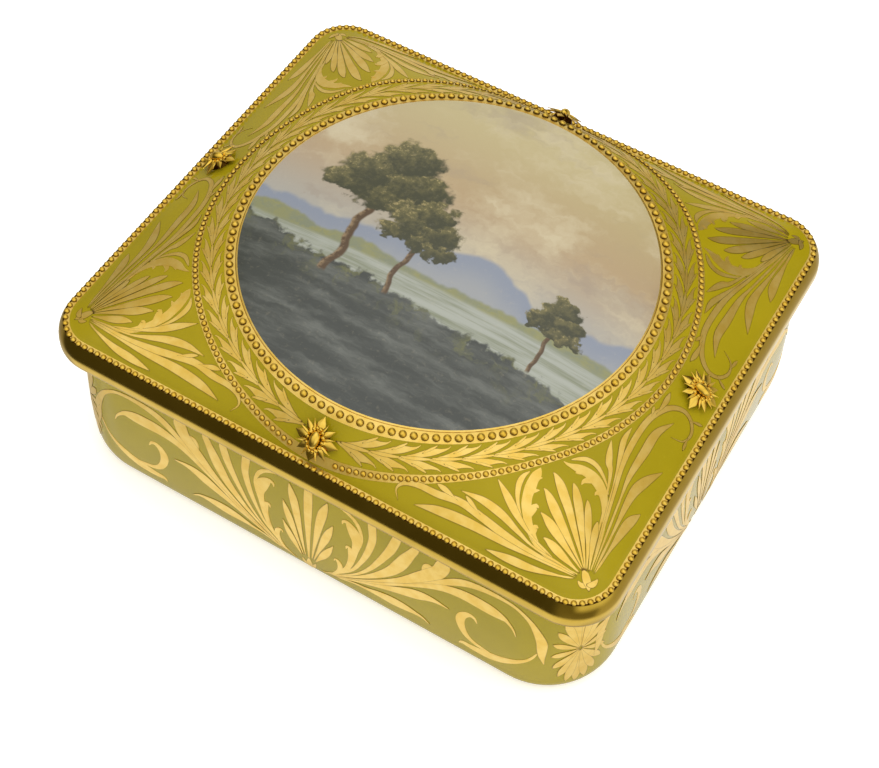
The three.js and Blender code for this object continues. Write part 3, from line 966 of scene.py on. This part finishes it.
# lays a copy of a flat sheet with a map from (x, y, lift) to the object, and gives it thickness
def layGilding(name, sheet, lay, flip):
    twin = copyPiece(sheet, name)
    for vertex in twin.data.vertices:
        vertex.co = lay(*vertex.co) * mm
    if flip:
        twin.data.flip_normals()
    applyModifier(twin, "SOLIDIFY", {"thickness": gildPlan["thick"] * mm, "offset": -1})
    return twin


def finishGilding(name, pieces, body, finish):
    gilding = joinAll(name, pieces)
    smooth(gilding)
    place(gilding, body, [finish])


def onLid(signX, signY):
    def lay(x, y, lift):
        return lidPoint(x * signX, y * signY, lift)
    return lay


def onWall(side, sign, stretch):
    def lay(u, height, lift):
        return wallPoint(side, u * sign * stretch, height, lift)
    return lay


# the two leaf groups beside a corner's palmette, in the plan's millimetres: shape, half width and spine
lidCorner = [
    ("fan", 0.95, [(58.8, -46.2), (59.0, -39.3), (59.3, -33.6), (60.3, -30.0)]),
    ("fan", 1.00, [(58.6, -46.2), (57.8, -36.5), (57.2, -28.4), (57.9, -24.2), (59.8, -19.6)]),
    ("fan", 0.90, [(58.3, -46.2), (56.0, -31.5), (55.1, -25.3), (55.1, -19.0), (55.2, -13.8),
        (56.9, -9.3)]),
    ("scroll", 0.66, [(58.0, -46.1), (54.4, -30.5), (52.9, -24.2), (52.4, -19.0), (52.5, -13.8),
        (53.3, -10.3), (55.0, -7.1), (57.3, -5.6), (59.4, -6.3), (60.6, -8.6), (60.0, -11.1),
        (57.7, -12.3)]),
    ("leaf", 0.55, [(53.3, -10.6), (53.6, -7.1), (53.4, -4.4)]),
    ("leaf", 0.35, [(52.8, -11.6), (52.5, -10.4), (52.2, -9.3)]),
    ("leaf", 0.32, [(59.0, -6.4), (60.6, -5.6), (61.6, -5.2)]),
    ("leaf", 0.32, [(60.4, -9.6), (60.6, -11.4), (60.8, -12.8)]),
    ("fan", 0.62, [(57.6, -45.0), (53.3, -28.4), (51.8, -23.2), (50.8, -19.6), (50.8, -16.3)]),
    ("fan", 0.72, [(57.4, -45.0), (52.5, -28.8), (50.5, -25.3), (48.8, -21.2)]),
    ("fan", 0.64, [(46.1, -47.2), (42.8, -45.1), (40.0, -42.3), (38.7, -39.8), (38.5, -37.9),
        (39.2, -36.1)]),
    ("fan", 0.80, [(51.1, -48.0), (45.6, -46.5), (41.4, -44.6), (38.1, -42.6), (34.5, -40.5)]),
    ("fan", 0.80, [(56.1, -48.2), (47.5, -48.0), (42.8, -46.9), (38.6, -45.7), (34.2, -45.2),
        (29.5, -45.6)]),
    ("scroll", 0.74, [(56.3, -48.4), (48.3, -48.9), (41.4, -48.5), (35.8, -47.8), (30.6, -47.3),
        (26.1, -48.0), (21.9, -48.3), (19.2, -49.1), (18.2, -50.4), (19.4, -51.8)]),
    ("leaf", 0.42, [(35.0, -47.5), (32.6, -46.6), (30.7, -45.9)]),
    ("leaf", 0.50, [(29.9, -47.3), (27.1, -46.8), (24.8, -46.6)]),
    ("fan", 0.88, [(56.3, -48.7), (49.7, -49.3), (42.8, -49.6), (34.4, -49.6), (27.5, -50.2),
        (22.6, -51.2)]),
    ("fan", 0.75, [(56.1, -49.0), (53.3, -50.1), (48.3, -51.2), (43.6, -51.6), (38.7, -52.0)]),
]
# the palmette, its calyx and its two acanthus leaves, drawn on a grid: across, down and half width
lidGrid = {"unit": 48, "left": 38.0, "top": -26.0}
lidPalmette = [
    ("drawn", [(760, 260, 3), (715, 200, 7), (660, 150, 14), (600, 110, 20), (540, 82, 25), (480, 76, 27),
        (420, 90, 25), (370, 125, 20), (335, 158, 12), (308, 184, 2)]),
    ("joined", [(560, 230, 30), (525, 262, 26), (505, 292, 16), (505, 328, 3)]),
    ("joined", [(705, 270, 30), (670, 292, 24), (652, 312, 14), (652, 336, 3)]),
    ("joined", [(450, 222, 24), (428, 248, 14), (405, 264, 3)]),
    ("joined", [(955, 960, 4), (930, 820, 9), (898, 680, 13), (862, 560, 17), (815, 450, 22),
        (762, 350, 30), (700, 272, 44), (630, 222, 52), (555, 198, 54), (480, 195, 46), (410, 212, 42),
        (345, 230, 22), (300, 238, 12), (262, 236, 2)]),
    ("joined", [(150, 640, 30), (185, 622, 18), (215, 600, 4)]),
    ("joined", [(135, 520, 26), (160, 502, 14), (180, 486, 4)]),
    ("joined", [(235, 870, 30), (240, 810, 38), (250, 765, 34), (262, 735, 20), (288, 742, 4)]),
    ("joined", [(350, 965, 28), (345, 920, 30), (348, 895, 20), (374, 895, 4)]),
    ("joined", [(872, 1060, 5), (740, 1074, 9), (620, 1072, 13), (520, 1056, 17), (430, 1020, 24),
        (350, 965, 32), (280, 905, 36), (222, 835, 40), (172, 760, 46), (145, 690, 46), (132, 620, 52),
        (122, 550, 46), (124, 490, 44), (124, 445, 26), (121, 410, 2)]),
    ("drawn", [(885, 1040, 5), (800, 1022, 16), (700, 1000, 34), (620, 978, 42), (550, 958, 36),
        (490, 945, 18), (450, 942, 2)]),
    ("drawn", [(890, 1008, 5), (800, 968, 14), (700, 925, 24), (600, 880, 36), (520, 842, 46),
        (440, 806, 42), (370, 778, 22), (318, 764, 2)]),
    ("drawn", [(895, 995, 5), (800, 935, 12), (700, 868, 24), (600, 800, 36), (500, 732, 44),
        (410, 668, 48), (330, 610, 38), (270, 572, 18), (235, 562, 2)]),
    ("drawn", [(905, 990, 5), (820, 900, 12), (720, 800, 24), (620, 700, 34), (520, 600, 42),
        (430, 520, 48), (350, 450, 44), (285, 405, 26), (235, 382, 2)]),
    ("drawn", [(915, 990, 5), (850, 895, 12), (770, 780, 22), (690, 670, 34), (610, 560, 42),
        (545, 475, 44), (485, 405, 32), (450, 372, 14), (438, 360, 2)]),
    ("drawn", [(925, 985, 5), (880, 890, 12), (820, 770, 22), (770, 680, 32), (720, 590, 36),
        (675, 510, 34), (640, 450, 22), (615, 418, 2)]),
    ("drawn", [(945, 980, 5), (915, 900, 12), (880, 810, 22), (850, 730, 30), (825, 650, 34),
        (803, 580, 24), (790, 528, 2)]),
    ("drawn", [(985, 1095, 10), (1025, 1070, 28), (1042, 1030, 22), (1046, 988, 3)]),
    ("drawn", [(1000, 1095, 12), (965, 1118, 26), (930, 1118, 18), (902, 1102, 3)]),
    ("drawn", [(893, 1000, 8), (930, 1020, 34), (970, 1060, 40), (1005, 1095, 28), (1035, 1132, 3)]),
]


def fromLidGrid(leaf):
    shape, points = leaf
    unit, left, top = lidGrid["unit"], lidGrid["left"], lidGrid["top"]
    return shape, None, [(left + x / unit, top - y / unit, w / unit) for x, y, w in points]


def makeCornerGilding():
    sheet = gildSheet("corner_sheet", lidCorner + [fromLidGrid(leaf) for leaf in lidPalmette])
    corners = []
    for signX, signY in [(1, 1), (-1, 1), (-1, -1), (1, -1)]:
        corners.append(layGilding("corner", sheet, onLid(signX, signY), signX * signY < 0))
    bpy.data.objects.remove(sheet)
    finishGilding("lid_corner_gilding", corners, "lid", leafGold)


wreathPlan = {"radius": 48.75, "sprays": 24, "start": 0.10, "end": 0.10}
wreathSpray = [
    ("drawn", None, [(-1.4, 0.10, 0.08), (0.8, 0.42, 0.38), (2.8, 0.90, 0.64), (4.4, 1.22, 0.62),
        (5.8, 1.45, 0.36), (7.0, 1.80, 0.15), (7.7, 2.35, 0.03)]),
    ("drawn", None, [(0.4, -0.10, 0.08), (2.6, -0.42, 0.38), (4.6, -0.90, 0.64), (6.2, -1.22, 0.62),
        (7.6, -1.45, 0.36), (8.8, -1.80, 0.15), (9.5, -2.35, 0.03)]),
    ("drawn", None, [(2.0, 0.85, 0.06), (3.2, 1.45, 0.24), (4.2, 1.90, 0.22), (5.0, 2.40, 0.03)]),
    ("drawn", None, [(3.8, -0.85, 0.06), (5.0, -1.45, 0.24), (6.0, -1.90, 0.22), (6.8, -2.40, 0.03)]),
    ("drawn", None, [(-0.5, 0.0, 0.12), (2.0, 0.05, 0.32), (4.2, 0.1, 0.28), (6.4, 0.15, 0.04)]),
]


def makeWreath():
    sheet = gildSheet("spray_sheet", wreathSpray)
    plan = wreathPlan
    sprays = []
    for half in (1, -1):
        for i in range(plan["sprays"]):
            start = plan["start"] + (math.pi - 2 * plan["start"] - plan["end"]) * i / (plan["sprays"] - 1)

            def lay(along, out, lift):
                angle = -quarterTurn + half * (start + along / plan["radius"])
                reach = plan["radius"] + out
                return lidPoint(reach * math.cos(angle), reach * math.sin(angle), lift)
            sprays.append(layGilding("spray", sheet, lay, half > 0))
    bpy.data.objects.remove(sheet)
    finishGilding("laurel_gilding", sprays, "lid", leafGold)


bandPlan = {"points": 240, "bands": [(43.9, 46.15), (51.4, 52.8)], "rings": 4, "clear": 0.05, "lift": 0.06,
            "thick": 0.1}


def makeBands():
    plan = bandPlan
    bands = []
    for inner, outer in plan["bands"]:
        deselectAll()
        bpy.ops.mesh.primitive_circle_add(vertices=plan["points"], radius=inner * mm)
        band = bpy.context.object
        startEdit()
        bpy.ops.mesh.select_mode(type="EDGE")
        for i in range(1, plan["rings"] + 1):
            bpy.ops.mesh.extrude_edges_move()
            reach = inner + (outer - inner) * i / plan["rings"]
            before = inner + (outer - inner) * (i - 1) / plan["rings"]
            bpy.ops.transform.resize(value=(reach / before, reach / before, 1))
        bpy.ops.mesh.select_all(action="SELECT")
        bpy.ops.mesh.normals_make_consistent(inside=False)
        endEdit()
        for vertex in band.data.vertices:
            x, y = vertex.co.x / mm, vertex.co.y / mm
            limit = slopeEdge(math.atan2(y, x)) - plan["clear"]
            scale = min(1, limit / math.hypot(x, y))
            vertex.co = lidPoint(x * scale, y * scale, plan["lift"]) * mm
        if band.data.polygons[0].normal.z < 0:
            band.data.flip_normals()
        applyModifier(band, "SOLIDIFY", {"thickness": plan["thick"] * mm, "offset": -1})
        bands.append(band)
    finishGilding("ring_gilding", bands, "lid", leafGold)


makeCornerGilding()
makeWreath()
makeBands()
print("lid gilding laid")

# half of one side of the base, drawn on a grid: across from the middle, down and half width
wallGrid = {"unit": 24, "middle": 41, "top": 877, "lean": 0.045}
wallHalf = [
    ("drawn", [(150, 765, 2), (230, 680, 6), (300, 580, 10), (345, 470, 13), (374, 380, 17), (395, 290, 20),
        (407, 200, 22), (400, 110, 24), (396, 70, 20)]),
    ("drawn", [(160, 763, 2), (262, 670, 6), (340, 575, 9), (402, 470, 13), (442, 380, 17), (478, 290, 21),
        (510, 200, 25), (532, 110, 25), (540, 70, 20)]),
    ("drawn", [(172, 758, 2), (300, 650, 8), (400, 545, 16), (470, 455, 24), (522, 375, 30), (562, 290, 35),
        (590, 215, 33), (615, 150, 26), (635, 100, 22), (645, 70, 16)]),
    ("joined", [(688, 235, 5), (698, 190, 16), (712, 158, 14), (735, 150, 4)]),
    ("drawn", [(182, 755, 2), (330, 650, 8), (450, 545, 14), (560, 435, 22), (630, 355, 32), (685, 285, 40),
        (735, 215, 42), (772, 155, 40), (788, 100, 40), (790, 70, 34)]),
    ("drawn", [(190, 752, 2), (400, 600, 5), (560, 465, 8), (700, 325, 9), (800, 222, 20), (880, 150, 26),
        (950, 112, 24), (1040, 92, 18), (1130, 88, 13), (1200, 103, 12), (1262, 153, 14), (1305, 231, 21),
        (1332, 308, 27), (1338, 371, 25), (1342, 428, 18), (1350, 472, 9), (1358, 510, 2)]),
    ("drawn", [(195, 752, 2), (350, 648, 8), (480, 540, 11), (560, 468, 11), (640, 398, 12), (745, 310, 20),
        (830, 258, 29), (920, 231, 39), (1000, 226, 43), (1070, 228, 40), (1120, 234, 26), (1150, 245, 14),
        (1187, 283, 7), (1208, 332, 2)]),
    ("drawn", [(200, 750, 2), (330, 665, 8), (430, 605, 12), (520, 548, 22), (600, 500, 33), (660, 465, 38),
        (715, 437, 30), (775, 423, 16), (848, 425, 2)]),
    ("drawn", [(205, 748, 2), (300, 705, 7), (390, 685, 13), (460, 668, 27), (530, 657, 37), (600, 649, 32),
        (660, 647, 18), (710, 653, 9), (752, 680, 2)]),
    ("joined", [(1100, 622, 3), (1040, 618, 12), (990, 605, 14), (950, 572, 18), (922, 515, 22),
        (912, 455, 25), (925, 405, 22), (955, 375, 16), (985, 380, 9), (1002, 412, 2)]),
    ("joined", [(1318, 417, 3), (1305, 456, 7), (1282, 502, 9), (1245, 546, 13), (1200, 585, 19),
        (1150, 622, 26), (1090, 648, 31), (1030, 662, 26), (985, 668, 20), (940, 668, 14), (918, 690, 2)]),
    ("joined", [(345, 330, 2), (350, 260, 7), (340, 200, 10), (318, 150, 12), (285, 118, 11), (240, 100, 8),
        (190, 92, 2)]),
    ("joined", [(258, 610, 5), (282, 530, 12), (292, 470, 16), (292, 425, 18), (284, 392, 13),
        (268, 388, 8), (263, 412, 2)]),
    ("joined", [(185, 725, 4), (215, 680, 11), (228, 635, 14), (226, 595, 15), (212, 570, 10),
        (198, 572, 5), (194, 588, 2)]),
    ("joined", [(120, 778, 2), (200, 712, 7), (262, 610, 13), (290, 520, 16), (305, 440, 18),
        (316, 370, 20), (322, 310, 27), (312, 255, 36), (290, 210, 30), (265, 182, 16), (242, 190, 8),
        (238, 214, 2)]),
    ("drawn", [(60, 700, 3), (75, 580, 9), (92, 450, 17), (108, 330, 24), (125, 230, 26), (140, 165, 16),
        (150, 118, 2)]),
    ("drawn", [(72, 700, 3), (98, 600, 9), (122, 510, 17), (144, 430, 23), (163, 360, 20), (176, 315, 11),
        (185, 280, 2)]),
    ("drawn", [(82, 712, 3), (105, 660, 11), (128, 610, 20), (150, 560, 21), (168, 515, 15), (180, 482, 7),
        (188, 458, 2)]),
    ("drawn", [(48, 825, 2), (62, 795, 12), (72, 765, 10), (82, 738, 2)]),
]
wallMiddle = [
    ("drawn", [(41, 720, 4), (41, 600, 10), (41, 450, 17), (41, 300, 24), (41, 180, 26), (41, 100, 22),
        (41, 50, 6)]),
    ("drawn", [(41, 834, 2), (41, 800, 17), (41, 760, 18), (41, 710, 3)]),
]
wallPlan = {"stretch": (1.0, 0.85), "rosetteHeight": 18.5, "rosetteHalf": (5.8, 14.4), "rosettePetals": 18,
            "rosetteAt": (61.65, 52.55), "petalHalf": 0.92, "petalStops": (0.05, 0.55, 1)}


def fromWallGrid(leaf):
    shape, points = leaf
    unit = wallGrid["unit"]
    placed = []
    for x, y, w in points:
        u = (x - wallGrid["middle"]) / unit
        placed.append((u, (wallGrid["top"] - y) / unit - wallGrid["lean"] * u, w / unit))
    return shape, None, placed


def makeWallGilding():
    half = gildSheet("wall_sheet", [fromWallGrid(leaf) for leaf in wallHalf])
    middle = gildSheet("middle_sheet", [fromWallGrid(leaf) for leaf in wallMiddle])
    for side, name in enumerate(("front", "right", "back", "left")):
        stretch = wallPlan["stretch"][side % 2]
        laid = [layGilding("wall_half", half, onWall(side, 1, stretch), False),
                layGilding("wall_half", half, onWall(side, -1, stretch), True),
                layGilding("wall_middle", middle, onWall(side, 1, 1), False)]
        finishGilding(f"{name}_wall_gilding", laid, "base", wallGold)
    bpy.data.objects.remove(half)
    bpy.data.objects.remove(middle)


def makeRosettes():
    across, down = wallPlan["rosetteHalf"]
    petals = []
    for i in range(wallPlan["rosettePetals"]):
        angle = 2 * math.pi * i / wallPlan["rosettePetals"]
        tip = Vector((across * math.sin(angle), -down * math.cos(angle)))
        spine = [tuple(tip * stop) for stop in wallPlan["petalStops"]]
        petals.append(("petal", wallPlan["petalHalf"], spine))
    sheet = gildSheet("rosette_sheet", petals)
    laid = []
    for side in range(4):
        toCorner = wallPlan["rosetteAt"][side % 2]

        def lay(u, height, lift):
            return wallPoint(side, toCorner + u, wallPlan["rosetteHeight"] + height, lift)
        laid.append(layGilding("rosette", sheet, lay, False))
    bpy.data.objects.remove(sheet)
    finishGilding("corner_rosettes", laid, "base", wallGold)


makeWallGilding()
makeRosettes()
print("wall gilding laid")

# camera as in the photograph
cameraPlan = {"place": (103.26, -192.69, 317.12), "turn": (34.821, -1.637, 30.734), "lens": 68.52,
              "sensor": 36, "near": 0.01}


def makeCamera():
    camera = bpy.data.objects.new("camera", bpy.data.cameras.new("camera"))
    bpy.context.scene.collection.objects.link(camera)
    camera.location = Vector(cameraPlan["place"]) * mm
    camera.rotation_euler = [math.radians(angle) for angle in cameraPlan["turn"]]
    camera.data.sensor_fit = "HORIZONTAL"
    camera.data.sensor_width = cameraPlan["sensor"]
    camera.data.lens = cameraPlan["lens"]
    camera.data.clip_start = cameraPlan["near"]
    bpy.context.scene.camera = camera


floorPlan = {"half": 3.0, "glow": 0.42}


def makeFloor():
    deselectAll()
    bpy.ops.mesh.primitive_plane_add(size=2 * floorPlan["half"], location=(0, 0, 0))
    floor = bpy.context.object
    floor.name = "floor"
    finish, shader, point = newFinish("white_paper")
    grain = point.noise(0.8, 3.0, 0.6)
    feed(shader, {
        "Base Color": grain.fade(0.3, 0.7).mix((0.96, 0.96, 0.96), (0.98, 0.98, 0.98)),
        "Roughness": 0.9,
        "Emission Color": (1.0, 1.0, 1.0),
        "Emission Strength": floorPlan["glow"],
    })
    floor.data.materials.append(finish)
    floor.visible_glossy = False


# brightness of the surroundings from straight below (0) to straight above (1)
lightPlan = {
    "front": [(0.0, 0.8), (0.05, 1.15), (0.14, 1.15), (0.20, 0.25), (0.56, 0.2), (0.64, 0.4), (0.76, 0.75),
              (0.9, 1.0), (1.0, 1.15)],
    "frontLeft": [(0.0, 0.8), (0.05, 1.15), (0.14, 1.15), (0.18, 0.08), (0.56, 0.08), (0.64, 0.4),
                  (0.76, 0.75), (0.9, 1.0), (1.0, 1.15)],
    "behind": [(0.0, 0.6), (0.05, 0.75), (0.10, 1.1), (0.14, 1.1), (0.19, 0.6), (0.45, 0.5), (0.55, 0.4),
               (0.62, 0.2), (0.74, 0.2), (0.84, 0.55), (0.90, 0.95), (1.0, 1.15)],
    "left": [(0.0, 0.7), (0.14, 0.6), (0.20, 0.4), (0.48, 0.35), (0.53, 0.06), (0.62, 0.06), (0.70, 0.3),
             (0.85, 0.42), (0.92, 0.9), (1.0, 1.15)],
    "darkSpot": (0.15, 0.83, 0.54), "dark": (0.03, 0.03, 0.02),
    "window": (-0.55, 0.80, 0.25), "white": (1.0, 1.0, 1.0), "glow": (1.1, 1.08, 1.0),
    "lamps": [("softbox", (0.15, 0.15, 0.8), 0.9, 3.6), ("fill", (0.15, -0.9, 0.35), 0.8, 0.3)],
}


def makeLight():
    world = bpy.data.worlds.new("studio")
    bpy.context.scene.world = world
    world.use_nodes = True
    tree = world.node_tree
    shader = tree.nodes["Background"]
    start = Shade(tree).make("ShaderNodeTexCoord", None, None, "Generated")
    right, back, up = start.axes()
    level = up * 0.5 + 0.5

    def towards(direction):
        x, y, z = direction
        return (x * right) + (y * back) + (z * up)

    def wall(stops):
        warm = []
        for position, value in stops:
            white = min(value, 1)
            warm.append((position, (value, value * (0.89 + 0.09 * white), value * (0.52 + 0.42 * white))))
        return up.make("ShaderNodeValToRGB", {"stops": warm}, {0: level})

    light = (-1.0 * right).fade(0.35, 0.6).mix(wall(lightPlan["behind"]), wall(lightPlan["left"]))
    light = (towards(lightPlan["darkSpot"]).fade(0.92, 0.98) * 0.9).mix(light, lightPlan["dark"])
    light = (towards(lightPlan["window"]).fade(0.80, 0.95) * 0.5).mix(light, lightPlan["white"])
    front = right.fade(-0.15, 0.25).mix(wall(lightPlan["frontLeft"]), wall(lightPlan["front"]))
    light = (-1.0 * back).fade(0.15, 0.4).mix(light, front)
    glow = right.fade(0.45, 0.7) * (-1.0 * back).fade(-0.45, -0.1) * up.fade(-0.35, 0.0) * up.fade(0.8, 0.6)
    light = (glow * 0.9).mix(light, lightPlan["glow"])
    rays = up.make("ShaderNodeLightPath", None, None, "Is Camera Ray")
    light = rays.mix(light, lightPlan["white"])
    tree.links.new(light.socket, shader.inputs["Color"])
    shader.inputs["Strength"].default_value = 1.0
    for name, spot, size, energy in lightPlan["lamps"]:
        lamp = bpy.data.objects.new(name, bpy.data.lights.new(name, "AREA"))
        bpy.context.scene.collection.objects.link(lamp)
        lamp.location = spot
        lamp.rotation_euler = (-lamp.location).to_track_quat("-Z", "Y").to_euler()
        lamp.data.size = size
        lamp.data.energy = energy
        lamp.visible_glossy = False
    bpy.context.scene.view_settings.view_transform = "Standard"


makeCamera()
makeFloor()
makeLight()

print("scene finished")
